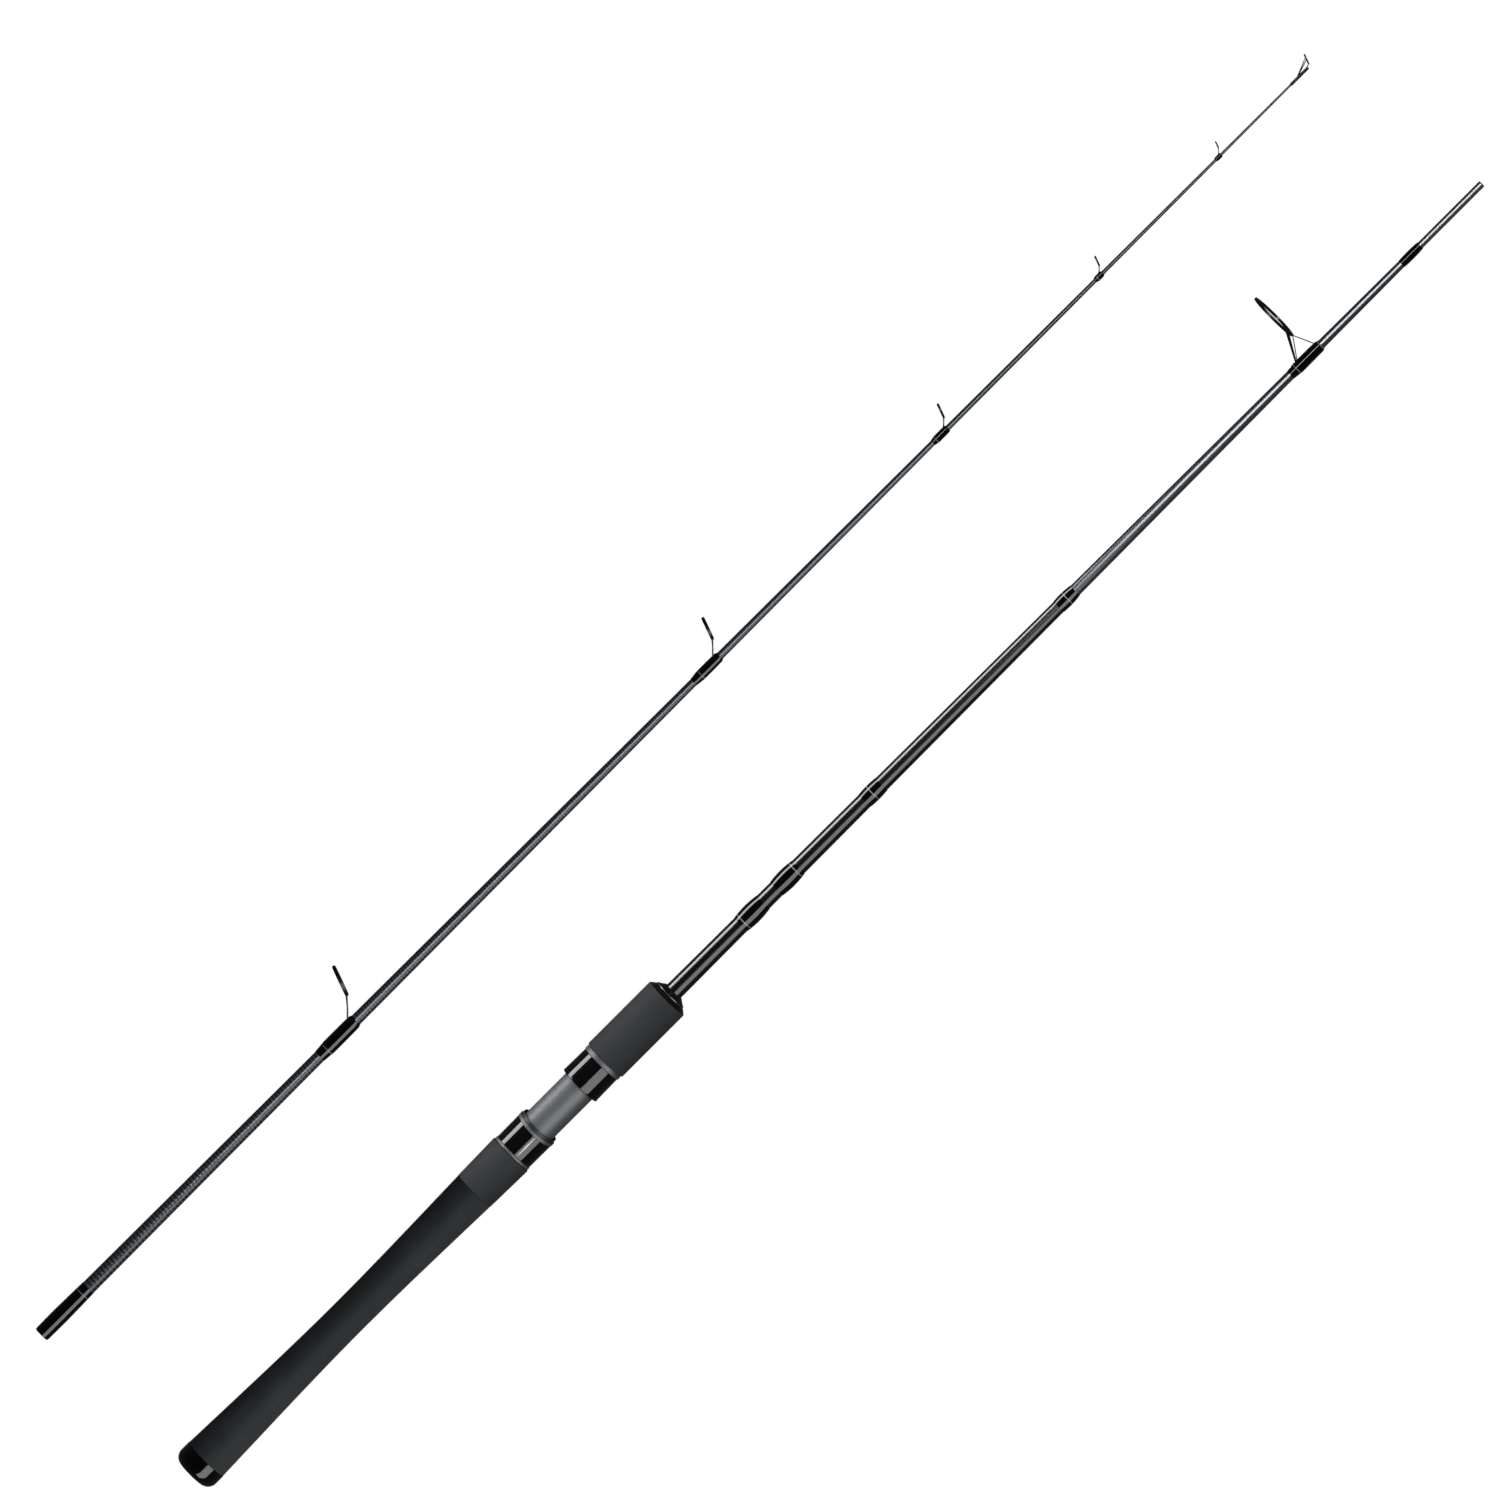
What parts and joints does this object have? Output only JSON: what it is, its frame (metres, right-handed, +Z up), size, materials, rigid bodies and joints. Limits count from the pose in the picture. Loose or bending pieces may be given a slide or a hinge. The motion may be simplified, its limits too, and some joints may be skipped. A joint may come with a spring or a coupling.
{
  "type": "spinning rod",
  "caption": "Two-piece spinning rod: foam-gripped butt section with a screw-lock reel seat and stripper guide, lying beside its slim guided tip section.",
  "frame": {"origin": "centre of the butt cap's end face, on the butt section's axis", "axes": "+X along the butt section from the cap towards the tip, +Y the side the line guides stand on and where the tip section lies, +Z up from the surface both sections lie on"},
  "size_m": [1.0878, 0.1679, 0.0315],
  "materials": {
    "cap_plastic": "moulded, high gloss black",
    "grip_foam": "fine-grained black closed-cell foam",
    "collar_foam": "fine-grained charcoal closed-cell foam",
    "seat_plastic": "satin grey moulded plastic",
    "arbor_plastic": "foamed plastic bushing",
    "ring_metal": "turned, satin grey",
    "hood_metal": "gloss black coated metal",
    "liner_plastic": "black moulded plastic",
    "check_plastic": "gloss black with a bright line",
    "butt_carbon": "carbon tube, painted black as far as the last trim wrap and bare blue-grey beyond it",
    "tip_carbon": "bare blue-grey carbon with fine cross-wrap ridges",
    "wrap_thread": "black thread under clear epoxy, with silver accent turns",
    "guide_metal": "gunmetal stainless steel",
    "guide_ceramic": "polished dark ceramic"
  },
  "bodies": {
    "butt_section": {"butt_cap": "cap_plastic", "rear_grip": "grip_foam", "grip_collar": "collar_foam", "reel_seat_body": "seat_plastic", "seat_arbor_rear": "arbor_plastic", "seat_arbor_middle": "arbor_plastic", "seat_arbor_front": "arbor_plastic", "seat_ring": "ring_metal", "fixed_hood": "hood_metal", "hood_mouth_ring": "ring_metal", "fixed_hood_liner": "liner_plastic", "butt_blank": "butt_carbon", "trim_wrap_1": "wrap_thread", "trim_wrap_2": "wrap_thread", "trim_wrap_3": "wrap_thread", "trim_wrap_4": "wrap_thread", "spigot_wrap": "wrap_thread", "guide_1_frame": "guide_metal", "guide_1_insert": "guide_ceramic", "guide_1_wrap": "wrap_thread"},
    "hood_slider": {"sliding_hood": "hood_metal", "sliding_hood_liner": "liner_plastic"},
    "foregrip_nut": {"lock_ring": "ring_metal", "locking_nut": "liner_plastic", "foregrip": "collar_foam", "winding_check": "check_plastic"},
    "tip_section": {"tip_blank": "tip_carbon", "socket_wrap": "wrap_thread", "guide_2_frame": "guide_metal", "guide_2_insert": "guide_ceramic", "guide_2_wrap": "wrap_thread", "guide_3_frame": "guide_metal", "guide_3_insert": "guide_ceramic", "guide_3_wrap": "wrap_thread", "guide_4_frame": "guide_metal", "guide_4_insert": "guide_ceramic", "guide_4_wrap": "wrap_thread", "guide_5_frame": "guide_metal", "guide_5_insert": "guide_ceramic", "guide_5_wrap": "wrap_thread", "guide_6_frame": "guide_metal", "guide_6_insert": "guide_ceramic", "guide_6_wrap": "wrap_thread", "tip_top_frame": "guide_metal", "tip_top_insert": "guide_ceramic"}
  },
  "joints": [
    {"name": "hood_slide", "type": "slide", "parent": "butt_section", "child": "hood_slider", "axis": [1, 0, 0], "range_m": [-0.006, 0.01]},
    {"name": "foregrip_turn", "type": "hinge", "parent": "hood_slider", "child": "foregrip_nut", "pos_m": [0.37, 0, 0], "axis": [1, 0, 0], "range_deg": [-1090, 1810]},
    {"name": "tip_lift", "type": "slide", "parent": "butt_section", "child": "tip_section", "axis": [0, 0, 1], "range_m": [0, 0.15]}
  ],
  "couplings": [
    {"joint": "foregrip_turn", "follows": "hood_slide", "rad_per_m": 3141.6}
  ]
}
